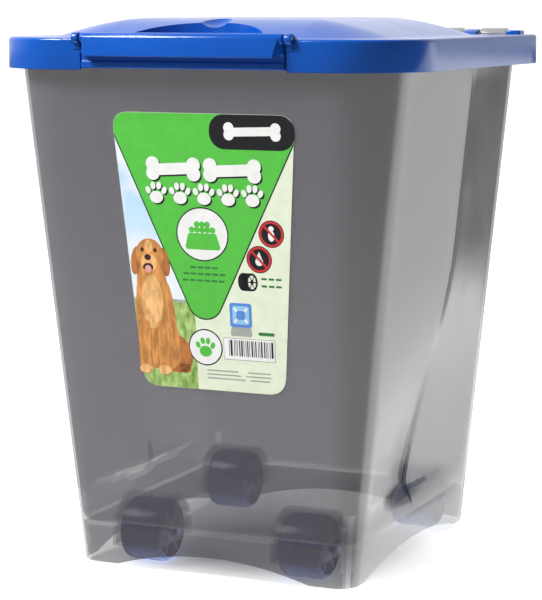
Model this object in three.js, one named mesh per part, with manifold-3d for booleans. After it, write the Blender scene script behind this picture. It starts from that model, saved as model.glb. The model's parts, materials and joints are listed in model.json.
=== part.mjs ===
// A pet food bin on four rollers: a smoke-clear tub, a hinged blue lid with a gasket, and a front latch.
// Millimetres. X is left to right, Y is front to back, Z is up. The origin is at the centre of the
// bin's box on the surface that the rollers stand on.
import * as THREE from "three";
import { mergeVertices } from "three/addons/utils/BufferGeometryUtils.js";
import Module from "manifold-3d";

const wasm = await Module();
wasm.setup();

// ---------------------------------------------------------------- driving dimensions

const GAP = 0.3; // clearance between pieces that touch

const LID = {
  halfWidth: 173,
  front: -159,
  back: 161,
  frontRadius: 64,
  backRadius: 9,
  wall: 2.4,
  skirtBottom: 392,
  rimTop: 415.8,
  edgeRounding: 2.6,
};

const TUB = {
  wall: 2.2,
  bottom: 2.5,
  top: 412.4,
  // The two ends of the taper: half width, front and back faces, corner radii.
  foot: { halfWidth: 117, front: -111.4, back: 151.9, frontRadius: 17, backRadius: 17 },
  mouth: { halfWidth: 161, front: -151.6, back: 154.7, frontRadius: 51, backRadius: 24 },
  floor: 32,
  archHeight: 13,
};

// Each side wall swells along an upright ridge at mid depth, and is pinched in near the bottom.
const RIDGE = {
  y: 6,
  stripDepth: 15,
  swell: 10.4,
  pinch: 11.5,
  swellFrom: 255,
  pinchAt: 66,
  fadeOutAt: 42,
  easeFrom: 386,
  easedShare: 0.3,
};

const LIP = { inset: 6.6, bottom: 401, wall: 2.2 };

const DOME = {
  halfWidth: 138,
  front: -143,
  back: 140,
  cornerRadius: 60,
  slope: 74,
  height: 14.2,
};

const THUMB = { radius: 62, back: -101, scoopRadius: 17, scoopDrop: 4.2, scoopReach: 30 };

const NOTCH = { halfWidth: 84, depth: 4.2, wall: 2, bottom: 399.5 };

const LATCH = {
  halfWidth: 82.6,
  pivotY: LID.front - 0.7,
  pivotZ: 415.6,
  barrelRadius: 4.3,
  pinRadius: 1.6,
  pinReach: 9,
  lipProud: 8.9,
  lipBottom: 402.2,
  barTop: 398.2,
  barBottom: 393.4,
  barProud: 1.4,
};

const HINGE = {
  axisY: LID.back,
  axisZ: 413.6,
  pitch: 38.4,
  tubKnuckle: 22.6,
  lidKnuckle: 12,
  tubRadius: 7.3,
  lidRadius: 6,
  pinRadius: 2.2,
  barEnd: 159,
  barTop: 418.9,
};

const WHEEL = {
  radius: 25,
  halfWidth: 17.5,
  shoulder: 6,
  grooveDepth: 1.6,
  frontX: 68,
  frontY: -77.4,
  backX: 86,
  backY: 117.4,
  axleRadius: 4,
  wellClearance: 2.5,
  wellWall: 2.2,
  wellBottom: 16,
};

const LABEL = {
  centreX: 10.5,
  top: 361,
  bottom: 151,
  topWidth: 150,
  bottomWidth: 118,
  cornerRadius: 14,
  thickness: 0.3,
};

// ---------------------------------------------------------------- solids

// A closed geometry as a solid that can be joined and cut.
function solid(geometry) {
  const bare = geometry.clone();
  bare.deleteAttribute("normal");
  bare.deleteAttribute("uv");
  const merged = mergeVertices(bare, 1e-4);
  return new wasm.Manifold(
    new wasm.Mesh({
      numProp: 3,
      vertProperties: merged.attributes.position.array,
      triVerts: new Uint32Array(merged.index.array),
    }),
  );
}

// A solid as a flat-shaded geometry.
function geometryOf(manifold) {
  const mesh = manifold.getMesh();
  const geometry = new THREE.BufferGeometry();
  geometry.setAttribute("position", new THREE.BufferAttribute(mesh.vertProperties, 3));
  geometry.setIndex(new THREE.BufferAttribute(mesh.triVerts, 1));
  const flat = geometry.toNonIndexed();
  flat.computeVertexNormals();
  return flat;
}

const union = (first, ...rest) => rest.reduce((sum, piece) => sum.add(piece), first);
const cut = (first, ...rest) => rest.reduce((left, piece) => left.subtract(piece), first);

// A box from its lowest and highest corners.
function box(low, high) {
  const size = high.map((value, i) => value - low[i]);
  const middle = high.map((value, i) => (value + low[i]) / 2);
  return solid(new THREE.BoxGeometry(...size).translate(...middle));
}

// A cylinder along X between two X values.
function rodX(x0, x1, y, z, radius, segments = 24) {
  const geometry = new THREE.CylinderGeometry(radius, radius, Math.abs(x1 - x0), segments);
  return solid(geometry.rotateZ(Math.PI / 2).translate((x0 + x1) / 2, y, z));
}

// An outline of [y, z] points, extruded along X.
function profileX(points, x0, x1) {
  const shape = new THREE.Shape(points.map(([y, z]) => new THREE.Vector2(y, z)));
  const geometry = new THREE.ExtrudeGeometry(shape, { depth: x1 - x0, bevelEnabled: false });
  const turn = new THREE.Matrix4().makeBasis(
    new THREE.Vector3(0, 1, 0),
    new THREE.Vector3(0, 0, 1),
    new THREE.Vector3(1, 0, 0),
  );
  return solid(geometry.applyMatrix4(turn).translate(x0, 0, 0));
}

// A closed body through a stack of rings that all have the same number of points.
function loft(rings) {
  const count = rings[0].length;
  const positions = rings.flat().flatMap((point) => [point.x, point.y, point.z]);
  const index = [];
  for (let ring = 0; ring + 1 < rings.length; ring++)
    for (let i = 0; i < count; i++) {
      const a = ring * count + i;
      const b = ring * count + ((i + 1) % count);
      index.push(a, b, b + count, a, b + count, a + count);
    }
  const capOf = (ring) =>
    THREE.ShapeUtils.triangulateShape(ring.map((point) => new THREE.Vector2(point.x, point.y)), []);
  const last = (rings.length - 1) * count;
  for (const [a, b, c] of capOf(rings[0])) index.push(a, c, b);
  for (const [a, b, c] of capOf(rings[rings.length - 1])) index.push(last + a, last + b, last + c);
  const geometry = new THREE.BufferGeometry();
  geometry.setAttribute("position", new THREE.Float32BufferAttribute(positions, 3));
  geometry.setIndex(index);
  return solid(geometry);
}

// ---------------------------------------------------------------- outlines

// A corner arc of a plan, anticlockwise from one heading to the next quarter turn.
function cornerArc(centreX, centreY, radius, quarter, steps) {
  return Array.from({ length: steps + 1 }, (_, i) => {
    const angle = (quarter + i / steps) * (Math.PI / 2);
    return new THREE.Vector2(centreX + radius * Math.cos(angle), centreY + radius * Math.sin(angle));
  });
}

// A rounded rectangle in plan, anticlockwise. The optional side points run up the right side,
// and are mirrored to the left.
function planOutline({ halfWidth, front, back, frontRadius, backRadius }, sidePoints = []) {
  const frontSteps = 6;
  const backSteps = 3;
  const right = sidePoints.map(([x, y]) => new THREE.Vector2(x, y));
  const left = sidePoints.map(([x, y]) => new THREE.Vector2(-x, y)).reverse();
  return [
    ...cornerArc(halfWidth - frontRadius, front + frontRadius, frontRadius, -1, frontSteps),
    ...right,
    ...cornerArc(halfWidth - backRadius, back - backRadius, backRadius, 0, backSteps),
    ...cornerArc(-halfWidth + backRadius, back - backRadius, backRadius, 1, backSteps),
    ...left,
    ...cornerArc(-halfWidth + frontRadius, front + frontRadius, frontRadius, 2, frontSteps),
  ];
}

// The same rounded rectangle, moved inwards.
function inset(plan, distance) {
  return {
    halfWidth: plan.halfWidth - distance,
    front: plan.front + distance,
    back: plan.back - distance,
    frontRadius: Math.max(plan.frontRadius - distance, 1),
    backRadius: Math.max(plan.backRadius - distance, 1),
  };
}

const ringAt = (outline, z) => outline.map((point) => new THREE.Vector3(point.x, point.y, z));

// An upright prism of a plan between two heights.
const prism = (plan, z0, z1) => loft([ringAt(planOutline(plan), z0), ringAt(planOutline(plan), z1)]);

// ---------------------------------------------------------------- the tub

const smooth = (t) => t * t * (3 - 2 * t);
const clamp01 = (t) => Math.min(1, Math.max(0, t));

// How far the side's ridge stands out (or in, when negative) at a height.
function ridgeOffset(z) {
  const rise = smooth(clamp01((z - RIDGE.pinchAt) / (RIDGE.swellFrom - RIDGE.pinchAt)));
  const fade = smooth(clamp01((z - RIDGE.fadeOutAt) / (RIDGE.pinchAt - RIDGE.fadeOutAt)));
  const ease = 1 - RIDGE.easedShare * clamp01((z - RIDGE.easeFrom) / (LIP.bottom - RIDGE.easeFrom));
  return ease * fade * (rise * (RIDGE.swell + RIDGE.pinch) - RIDGE.pinch);
}

// The tub's rounded rectangle at a height, with its even taper.
function tubPlan(z) {
  const t = (z - TUB.bottom) / (TUB.top - TUB.bottom);
  const mix = (key) => TUB.foot[key] + (TUB.mouth[key] - TUB.foot[key]) * t;
  return {
    halfWidth: mix("halfWidth"),
    front: mix("front"),
    back: mix("back"),
    frontRadius: mix("frontRadius"),
    backRadius: mix("backRadius"),
  };
}

// The tub's outline at a height, moved inwards by a distance: a plan with a ridge on each side,
// and a narrow strip behind the ridge that steps back towards the rear of the wall.
function tubOutline(z, distance) {
  const plan = inset(tubPlan(z), distance);
  const offset = ridgeOffset(z);
  const strip = RIDGE.stripDepth * clamp01((z - RIDGE.pinchAt) / 120);
  return planOutline(plan, [
    [plan.halfWidth + offset, RIDGE.y],
    [plan.halfWidth + offset * 0.72, RIDGE.y + 2 + strip],
  ]);
}

function tubLoft(z0, z1, distance) {
  const between = [RIDGE.fadeOutAt, 54, RIDGE.pinchAt, 88, 120, 160, 205, RIDGE.swellFrom, RIDGE.easeFrom];
  const heights = [z0, ...between.filter((z) => z > z0 + 4 && z < z1 - 4), z1];
  return loft(heights.map((z) => ringAt(tubOutline(z, distance), z)));
}

// The four places where a roller sits: name, X, Y and which way is outwards.
const WHEEL_PLACES = [
  ["front_left", -WHEEL.frontX, WHEEL.frontY, -1],
  ["front_right", WHEEL.frontX, WHEEL.frontY, 1],
  ["rear_left", -WHEEL.backX, WHEEL.backY, -1],
  ["rear_right", WHEEL.backX, WHEEL.backY, 1],
];

const WELL_INNER = WHEEL.radius + WHEEL.wellClearance;
const WELL_HALF_WIDTH = WHEEL.halfWidth + 1.5;

// The room that a roller well takes: a half round roof along X, with upright walls under it.
function wellBody(x, y, halfWidth, radius, bottom) {
  const steps = 12;
  const roof = Array.from({ length: steps + 1 }, (_, i) => {
    const angle = (i / steps) * Math.PI;
    return [y + radius * Math.cos(angle), WHEEL.radius + radius * Math.sin(angle)];
  });
  return profileX([...roof, [y - radius, bottom], [y + radius, bottom]], x - halfWidth, x + halfWidth);
}

const wellShell = (x, y) =>
  wellBody(x, y, WELL_HALF_WIDTH + WHEEL.wellWall, WELL_INNER + WHEEL.wellWall, WHEEL.wellBottom);

const wellHollow = (x, y) => wellBody(x, y, WELL_HALF_WIDTH, WELL_INNER, -5);

// The shallow arch that is cut out of the skirt between two feet, as [across, height] points.
function archPoints(from, to, height) {
  const steps = 14;
  const points = Array.from({ length: steps + 1 }, (_, i) => {
    const t = i / steps;
    return [from + (to - from) * t, TUB.bottom + height * 4 * t * (1 - t)];
  });
  return [[from, TUB.bottom - 4], ...points, [to, TUB.bottom - 4]].reverse();
}

function skirtArches() {
  const sideArch = profileX(archPoints(-84, 124, TUB.archHeight), -140, 140);
  const frontShape = new THREE.Shape(
    archPoints(-82, 82, TUB.archHeight).map(([x, z]) => new THREE.Vector2(x, z)),
  );
  const frontArch = new THREE.ExtrudeGeometry(frontShape, { depth: 320, bevelEnabled: false });
  return union(sideArch, solid(frontArch.rotateX(Math.PI / 2).translate(0, 180, 0)));
}

// The rim: a lip that turns outwards and down around the front and the sides.
const LIP_PLAN = {
  halfWidth: LID.halfWidth - LIP.inset,
  front: LID.front + LIP.inset,
  back: TUB.mouth.back,
  frontRadius: LID.frontRadius - LIP.inset,
  backRadius: 20,
};

function rimLip() {
  const groove = inset(LIP_PLAN, LIP.wall);
  return cut(prism(LIP_PLAN, LIP.bottom, TUB.top), prism(groove, LIP.bottom - 1, TUB.top - LIP.wall));
}

// X values of the knuckles: eight on the tub in four pairs, and one on the lid in each pair.
const TUB_KNUCKLES = [-3.5, -2.5, -1.5, -0.5, 0.5, 1.5, 2.5, 3.5].map((n) => n * HINGE.pitch);
const LID_KNUCKLES = [-3, -1, 1, 3].map((n) => n * HINGE.pitch);

// One tub knuckle: a round barrel on a web that runs down the outside of the rear wall.
function tubKnuckle(x) {
  const half = HINGE.tubKnuckle / 2;
  const wallY = TUB.mouth.back - 1;
  const web = profileX(
    [
      [wallY, HINGE.axisZ + 4],
      [wallY, 388],
      [HINGE.axisY + HINGE.tubRadius, HINGE.axisZ - 4],
      [HINGE.axisY + HINGE.tubRadius, HINGE.axisZ],
      [HINGE.axisY, HINGE.axisZ + HINGE.tubRadius],
    ],
    x - half,
    x + half,
  );
  return union(web, rodX(x - half, x + half, HINGE.axisY, HINGE.axisZ, HINGE.tubRadius));
}

const hingeBore = (x) =>
  rodX(x - HINGE.tubKnuckle, x + HINGE.tubKnuckle, HINGE.axisY, HINGE.axisZ, HINGE.pinRadius + GAP, 16);

function makeTub() {
  const shell = cut(
    tubLoft(TUB.bottom, TUB.top, 0),
    tubLoft(TUB.floor + TUB.wall, TUB.top + 1, TUB.wall),
    tubLoft(TUB.bottom - 1, TUB.floor, TUB.wall),
  );
  const mouth = tubLoft(TUB.floor + TUB.wall, TUB.top + 1, TUB.wall);
  let tub = union(shell, cut(rimLip(), mouth));
  for (const [, x, y] of WHEEL_PLACES) tub = tub.add(wellShell(x, y));
  for (const [, x, y] of WHEEL_PLACES) {
    const axleHole = rodX(x - 40, x + 40, y, WHEEL.radius, WHEEL.axleRadius + GAP, 20);
    const outside = tubLoft(TUB.bottom - 1, TUB.top, 0.5 * TUB.wall);
    tub = cut(tub, wellHollow(x, y), axleHole.intersect(outside));
  }
  for (const x of TUB_KNUCKLES) tub = tub.add(tubKnuckle(x));
  for (const x of TUB_KNUCKLES) tub = tub.subtract(hingeBore(x));
  return cut(tub, skirtArches());
}

// ---------------------------------------------------------------- the lid

// How far inside a rounded rectangle a point lies. Negative outside it.
function depthInside(x, y, { halfWidth, front, back, cornerRadius }) {
  const dx = Math.abs(x) - (halfWidth - cornerRadius);
  const dy = Math.abs(y - (front + back) / 2) - ((back - front) / 2 - cornerRadius);
  const outside = Math.hypot(Math.max(dx, 0), Math.max(dy, 0)) + Math.min(Math.max(dx, dy), 0);
  return cornerRadius - outside;
}

// The dome's height above the lid's flat margin.
function domeHeight(x, y) {
  const t = clamp01(depthInside(x, y, DOME) / DOME.slope);
  return DOME.height * Math.sin((Math.PI / 2) * t);
}

// Everything under the dome's surface, lowered by a distance, down to a flat base.
function underDome(lowered, base) {
  const nx = 16;
  const ny = 14;
  const margin = 3;
  const x0 = -DOME.halfWidth - margin;
  const y0 = DOME.front - margin;
  const width = -2 * x0;
  const length = DOME.back + margin - y0;
  const positions = [];
  for (const top of [false, true])
    for (let j = 0; j <= ny; j++)
      for (let i = 0; i <= nx; i++) {
        const x = x0 + (width * i) / nx;
        const y = y0 + (length * j) / ny;
        positions.push(x, y, top ? LID.rimTop - lowered + domeHeight(x, y) : base);
      }
  const at = (layer, i, j) => layer * (nx + 1) * (ny + 1) + j * (nx + 1) + i;
  const index = [];
  const quad = (a, b, c, d) => index.push(a, b, c, a, c, d);
  for (let j = 0; j < ny; j++)
    for (let i = 0; i < nx; i++) {
      quad(at(1, i, j), at(1, i + 1, j), at(1, i + 1, j + 1), at(1, i, j + 1));
      quad(at(0, i, j), at(0, i, j + 1), at(0, i + 1, j + 1), at(0, i + 1, j));
    }
  for (let i = 0; i < nx; i++) {
    quad(at(0, i, 0), at(0, i + 1, 0), at(1, i + 1, 0), at(1, i, 0));
    quad(at(0, i + 1, ny), at(0, i, ny), at(1, i, ny), at(1, i + 1, ny));
  }
  for (let j = 0; j < ny; j++) {
    quad(at(0, 0, j + 1), at(0, 0, j), at(1, 0, j), at(1, 0, j + 1));
    quad(at(0, nx, j), at(0, nx, j + 1), at(1, nx, j + 1), at(1, nx, j));
  }
  const geometry = new THREE.BufferGeometry();
  geometry.setAttribute("position", new THREE.Float32BufferAttribute(positions, 3));
  geometry.setIndex(index);
  return solid(geometry);
}

// The round recess in the dome's front slope, and the thumb scoop behind it, grown by a distance.
function thumbRecess(grown, base) {
  const height = 60;
  const well = new THREE.CylinderGeometry(THUMB.radius + grown, THUMB.radius + grown, height, 40)
    .rotateX(Math.PI / 2)
    .translate(0, THUMB.back - THUMB.radius, base + height / 2);
  const dropAt = LID.rimTop + domeHeight(0, THUMB.back) - THUMB.scoopDrop;
  const scoop = new THREE.SphereGeometry(1, 20, 12)
    .scale(THUMB.scoopRadius + grown, THUMB.scoopReach + grown, THUMB.scoopRadius + grown)
    .translate(0, THUMB.back - 4, dropAt + THUMB.scoopRadius);
  return union(solid(well), solid(scoop));
}

function lidTop() {
  const underside = LID.rimTop - LID.wall;
  const plate = prism(inset(LID, LID.edgeRounding), underside, LID.rimTop);
  const over = union(plate, underDome(0, underside));
  const hollow = cut(underDome(LID.wall, underside - 8), thumbRecess(LID.wall, underside));
  return cut(over, thumbRecess(0, LID.rimTop), hollow);
}

// The lid's outer block: upright skirt with a rounded top edge.
function lidBlock() {
  const steps = 4;
  const rings = [[LID.skirtBottom, 0]];
  for (let i = 0; i <= steps; i++) {
    const angle = (i / steps) * (Math.PI / 2);
    const z = LID.rimTop - LID.edgeRounding * (1 - Math.sin(angle));
    rings.push([z, LID.edgeRounding * (1 - Math.cos(angle))]);
  }
  return loft(rings.map(([z, distance]) => ringAt(planOutline(inset(LID, distance)), z)));
}

// A ring that stands under the lid and goes just inside the tub's mouth.
const MOUTH_PLAN = inset(tubPlan(TUB.top - 12), TUB.wall);

function ring(plan, thickness, z0, z1) {
  return cut(prism(plan, z0, z1), prism(inset(plan, thickness), z0 - 1, z1 + 1));
}

// The cut that ends each side skirt at the rear with a rounded lower corner, and opens the back.
function rearOpening() {
  const inner = LID.halfWidth - LID.wall - 0.2;
  const low = LID.skirtBottom - 1;
  const openBack = box([-inner, LID.back - 14, low], [inner, LID.back + 1, LID.rimTop - LID.wall]);
  const radius = 11;
  const corner = cut(
    box([-LID.halfWidth - 1, LID.back - radius, low], [LID.halfWidth + 1, LID.back + 1, LID.skirtBottom + radius]),
    rodX(-LID.halfWidth - 2, LID.halfWidth + 2, LID.back - radius, LID.skirtBottom + radius, radius, 32),
  );
  return union(openBack, corner);
}

// The latch's notch in the front skirt. A plain wall closes it behind the latch.
function notchCut() {
  const depth = NOTCH.depth;
  return box(
    [-NOTCH.halfWidth, LID.front - 1, LID.skirtBottom - 1],
    [NOTCH.halfWidth, LID.front + depth, LID.rimTop + 1],
  );
}

// A raised ear at each end of the notch, which carries the latch's pin.
function latchEar(side) {
  const z = LATCH.pivotZ;
  const y = LATCH.pivotY;
  const inner = NOTCH.halfWidth - 0.2;
  const [x0, x1] = side > 0 ? [inner, inner + 5.5] : [-inner - 5.5, -inner];
  return union(
    rodX(x0, x1, y, z, LATCH.barrelRadius),
    box([x0, y, z - 8], [x1, y + 6.4, z + 0.2]),
    profileX([[y, z + LATCH.barrelRadius], [y, z - 2], [y + 10, z - 2], [y + 10, z]], x0, x1),
  );
}

function lidKnuckle(x) {
  const half = HINGE.lidKnuckle / 2;
  const under = LID.rimTop - LID.wall;
  const neck = profileX(
    [
      [HINGE.axisY - 13, under],
      [HINGE.axisY, under],
      [HINGE.axisY, HINGE.axisZ + HINGE.lidRadius],
      [HINGE.axisY - 8, HINGE.axisZ + HINGE.lidRadius - 1.5],
      [HINGE.axisY - 13, LID.rimTop],
    ],
    x - half,
    x + half,
  );
  return union(neck, rodX(x - half, x + half, HINGE.axisY, HINGE.axisZ, HINGE.lidRadius));
}

// The low bars of the lid's rear edge, between and outside the knuckle pairs.
function rearBars() {
  const under = LID.rimTop - LID.wall;
  const clearOfKnuckle = HINGE.tubKnuckle / 2 + 1;
  const bar = (x0, x1) =>
    box([x0, HINGE.axisY - 9, under + 0.1], [x1, HINGE.axisY + 4.6, HINGE.barTop]);
  const middle = HINGE.pitch / 2 - clearOfKnuckle;
  const outer = 3.5 * HINGE.pitch + clearOfKnuckle;
  const side = 2 * HINGE.pitch;
  return [
    bar(-middle, middle),
    bar(side - middle, side + middle),
    bar(-side - middle, -side + middle),
    bar(outer, HINGE.barEnd),
    bar(-HINGE.barEnd, -outer),
  ];
}

function makeLid() {
  const underside = LID.rimTop - LID.wall;
  const skirt = cut(lidBlock(), prism(inset(LID, LID.wall), LID.skirtBottom - 1, underside));
  const margin = cut(skirt, prism(inset(LID, 11), underside - 1, LID.rimTop + 1));
  const plug = ring(inset(MOUTH_PLAN, 4.4), 2, 400.5, underside + 0.5);
  const notchWall = box(
    [-NOTCH.halfWidth - 2, LID.front + NOTCH.depth, NOTCH.bottom],
    [NOTCH.halfWidth + 2, LID.front + NOTCH.depth + NOTCH.wall, underside + 0.5],
  );
  let lid = cut(union(margin, lidTop(), plug), rearOpening(), notchCut());
  lid = union(lid, notchWall, latchEar(-1), latchEar(1), ...rearBars());
  for (const x of TUB_KNUCKLES) {
    const half = HINGE.tubKnuckle / 2 + 1;
    lid = lid.subtract(box([x - half, HINGE.axisY - 8.4, underside - 20], [x + half, LID.back + 9, 440]));
  }
  for (const x of LID_KNUCKLES) {
    const half = HINGE.lidKnuckle / 2;
    const room = HINGE.pitch / 2;
    lid = lid.subtract(box([x - room, HINGE.axisY - 8.4, underside - 20], [x - half, LID.back + 9, 440]));
    lid = lid.subtract(box([x + half, HINGE.axisY - 8.4, underside - 20], [x + room, LID.back + 9, 440]));
    lid = lid.add(lidKnuckle(x)).subtract(hingeBore(x));
  }
  const pinBore = rodX(-100, 100, LATCH.pivotY, LATCH.pivotZ, LATCH.pinRadius + GAP, 16);
  return lid.subtract(pinBore);
}

function makeSeal() {
  return ring(inset(MOUTH_PLAN, 0.7), 3.3, 402, 408);
}

// ---------------------------------------------------------------- latch, pins and rollers

// The latch's section: a barrel at the top, a sloping flap that stands proud at its lower edge,
// a finger recess under the flap, and a bar at the bottom that faces the tub's lip.
function makeLatch() {
  const face = LID.front;
  const { pivotY, pivotZ, barrelRadius, lipProud, lipBottom, barTop, barBottom, barProud } = LATCH;
  const back = face + NOTCH.depth - 0.5;
  const flap = profileX(
    [
      [pivotY, pivotZ + barrelRadius],
      [pivotY - barrelRadius, pivotZ + 2],
      [face - lipProud, lipBottom + 0.6],
      [face - lipProud + 1, lipBottom],
      [face - lipProud + 3, lipBottom + 1.2],
      [face - 0.4, lipBottom + 3],
      [face - 0.4, barTop + 1],
      [face - barProud, barTop],
      [face - barProud, barBottom + 0.8],
      [face - barProud + 0.8, barBottom],
      [face + 6.3, barBottom],
      [face + 6.3, barTop - 0.2],
      [back - 1.2, barTop + 2.2],
      [back - 1.2, pivotZ - 6],
      [pivotY + 2, pivotZ - 2],
      [pivotY + 2, pivotZ + 2],
    ].reverse(),
    -LATCH.halfWidth,
    LATCH.halfWidth,
  );
  const barrel = rodX(-LATCH.halfWidth, LATCH.halfWidth, pivotY, pivotZ, barrelRadius);
  const slant = (side) =>
    profileZ(
      [
        [side * LATCH.halfWidth * 1.1, LID.front - 1.8],
        [side * (LATCH.halfWidth - 0.6), LID.front - 1.8],
        [side * (LATCH.halfWidth - 6), LID.front - lipProud - 0.2],
        [side * LATCH.halfWidth * 1.1, LID.front - lipProud - 0.2],
      ],
      lipBottom - 2,
      pivotZ - 2,
    );
  const bores = rodX(-100, -LATCH.halfWidth + LATCH.pinReach, pivotY, pivotZ, LATCH.pinRadius + GAP, 16).add(
    rodX(LATCH.halfWidth - LATCH.pinReach, 100, pivotY, pivotZ, LATCH.pinRadius + GAP, 16),
  );
  return cut(union(flap, barrel), slant(-1), slant(1), bores);
}

// An outline of [x, y] points, extruded upwards.
function profileZ(points, z0, z1) {
  const outline = points.map(([x, y]) => new THREE.Vector2(x, y));
  if (THREE.ShapeUtils.isClockWise(outline)) outline.reverse();
  return loft([ringAt(outline, z0), ringAt(outline, z1)]);
}

function makeLatchPin(side) {
  const inner = LATCH.halfWidth - LATCH.pinReach + 0.5;
  const outer = NOTCH.halfWidth + 5;
  return rodX(side * inner, side * outer, LATCH.pivotY, LATCH.pivotZ, LATCH.pinRadius, 16);
}

function makeHingePin(x) {
  const half = HINGE.pitch / 2 + HINGE.tubKnuckle / 2 - 0.5;
  return rodX(x - half, x + half, HINGE.axisY, HINGE.axisZ, HINGE.pinRadius, 16);
}

// A roller: a barrel with rounded shoulders and a groove round its middle.
function makeWheel(x, y) {
  const { radius, halfWidth, shoulder, grooveDepth, axleRadius } = WHEEL;
  const bore = axleRadius + GAP;
  const profile = [
    [bore, -halfWidth],
    [radius - 4, -halfWidth],
    [radius - 1.8, -halfWidth + shoulder * 0.35],
    [radius, -halfWidth + shoulder],
    [radius, -2.6],
    [radius - grooveDepth, -1.4],
  ];
  const mirrored = profile.map(([r, along]) => [r, -along]).reverse();
  const outline = [...profile, ...mirrored, profile[0]].map(([r, along]) => new THREE.Vector2(r, along));
  const geometry = new THREE.LatheGeometry(outline, 24);
  return solid(geometry.rotateZ(-Math.PI / 2).translate(x, y, radius));
}

// An axle: a plain pin with a flat head on its outer end.
function makeAxle(x, y, outwards) {
  const reach = WELL_HALF_WIDTH + WHEEL.wellWall;
  const head = reach + GAP;
  return union(
    rodX(x - outwards * (reach + 2), x + outwards * (head + 1), y, WHEEL.radius, WHEEL.axleRadius, 20),
    rodX(x + outwards * head, x + outwards * (head + 3), y, WHEEL.radius, WHEEL.axleRadius + 2, 20),
  );
}

// ---------------------------------------------------------------- the label

// Where the tub's flat front face is at a height.
const frontFace = (z) => tubPlan(z).front;

// A rounded, downward-tapering label, laid on the slope of the front face.
function makeLabel() {
  const { centreX, top, bottom, topWidth, bottomWidth, cornerRadius, thickness } = LABEL;
  const lean = (frontFace(top) - frontFace(bottom)) / (top - bottom);
  const stretch = Math.hypot(1, lean);
  const height = (top - bottom) * stretch;
  const corners = [
    [-bottomWidth / 2, 0],
    [bottomWidth / 2, 0],
    [topWidth / 2, height],
    [-topWidth / 2, height],
  ].map(([u, v]) => new THREE.Vector2(u, v));
  const shape = new THREE.Shape();
  corners.forEach((corner, i) => {
    const before = corners[(i + 3) % 4];
    const after = corners[(i + 1) % 4];
    const start = corner.clone().add(before.clone().sub(corner).setLength(cornerRadius));
    const end = corner.clone().add(after.clone().sub(corner).setLength(cornerRadius));
    if (i === 0) shape.moveTo(start.x, start.y);
    else shape.lineTo(start.x, start.y);
    shape.quadraticCurveTo(corner.x, corner.y, end.x, end.y);
  });
  shape.closePath();
  const geometry = new THREE.ExtrudeGeometry(shape, {
    depth: thickness,
    bevelEnabled: false,
    curveSegments: 6,
  });
  const right = new THREE.Vector3(1, 0, 0);
  const up = new THREE.Vector3(0, lean, 1).normalize();
  const out = new THREE.Vector3().crossVectors(right, up);
  const place = new THREE.Matrix4().makeBasis(right, up, out);
  const origin = new THREE.Vector3(centreX, frontFace(bottom), bottom).addScaledVector(out, GAP);
  return solid(geometry.applyMatrix4(place).translate(origin.x, origin.y, origin.z));
}

// ---------------------------------------------------------------- the assembly

const SMOKE = { color: 0x8a8784, roughness: 0.2, metalness: 0, transparent: true, opacity: 0.55 };
const BLUE = { color: 0x1d4fc4, roughness: 0.28, metalness: 0 };
const GASKET = { color: 0xb9bcc2, roughness: 0.8, metalness: 0 };
const ROLLER_BLUE = { color: 0x23449a, roughness: 0.4, metalness: 0 };
const STEEL = { color: 0xa8abb0, roughness: 0.3, metalness: 1 };
const PAPER = { color: 0x58b548, roughness: 0.5, metalness: 0 };

const bin = new THREE.Group();

function addPiece(name, manifold, look) {
  const mesh = new THREE.Mesh(geometryOf(manifold), new THREE.MeshStandardMaterial(look));
  mesh.name = name;
  bin.add(mesh);
}

addPiece("tub", makeTub(), SMOKE);
addPiece("lid", makeLid(), BLUE);
addPiece("lid_seal", makeSeal(), GASKET);
addPiece("latch", makeLatch(), BLUE);
addPiece("latch_pin_left", makeLatchPin(-1), STEEL);
addPiece("latch_pin_right", makeLatchPin(1), STEEL);
LID_KNUCKLES.forEach((x, i) => addPiece(`hinge_pin_${i + 1}`, makeHingePin(x), STEEL));
for (const [name, x, y, outwards] of WHEEL_PLACES) {
  addPiece(`wheel_${name}`, makeWheel(x, y), ROLLER_BLUE);
  addPiece(`axle_${name}`, makeAxle(x, y, outwards), STEEL);
}
addPiece("front_label", makeLabel(), PAPER);

export default bin;
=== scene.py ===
# A pet food bin on four rollers: smoke-clear tub, hinged blue lid with a gasket, flap latch, printed label.
# The shapes are worked out in millimetres in the frame's axes: X to the right, Y to the back, Z up.
import json
from collections import namedtuple
from math import copysign, cos, dist, hypot, pi, radians, sin, tan

import bmesh
import bpy
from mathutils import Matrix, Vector


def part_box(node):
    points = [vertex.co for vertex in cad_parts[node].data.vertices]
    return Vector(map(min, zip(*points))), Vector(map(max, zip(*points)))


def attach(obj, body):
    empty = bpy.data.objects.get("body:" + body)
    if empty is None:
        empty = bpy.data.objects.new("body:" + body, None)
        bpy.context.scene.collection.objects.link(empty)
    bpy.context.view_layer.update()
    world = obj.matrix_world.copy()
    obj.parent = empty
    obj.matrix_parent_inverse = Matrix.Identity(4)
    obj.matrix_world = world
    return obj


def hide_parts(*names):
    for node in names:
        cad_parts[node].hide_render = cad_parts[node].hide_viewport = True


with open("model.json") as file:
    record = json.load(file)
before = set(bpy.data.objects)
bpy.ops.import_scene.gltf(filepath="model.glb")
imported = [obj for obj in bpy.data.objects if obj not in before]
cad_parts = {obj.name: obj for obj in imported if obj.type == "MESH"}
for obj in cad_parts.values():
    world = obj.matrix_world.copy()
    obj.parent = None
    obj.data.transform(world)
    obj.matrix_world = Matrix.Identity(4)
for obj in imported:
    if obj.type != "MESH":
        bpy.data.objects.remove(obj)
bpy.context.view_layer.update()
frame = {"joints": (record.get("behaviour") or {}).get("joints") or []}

# ---------------- dimensions

MM = 0.001
GAP = 0.3

Plan = namedtuple("Plan", "half_width front back front_radius back_radius")

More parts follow.
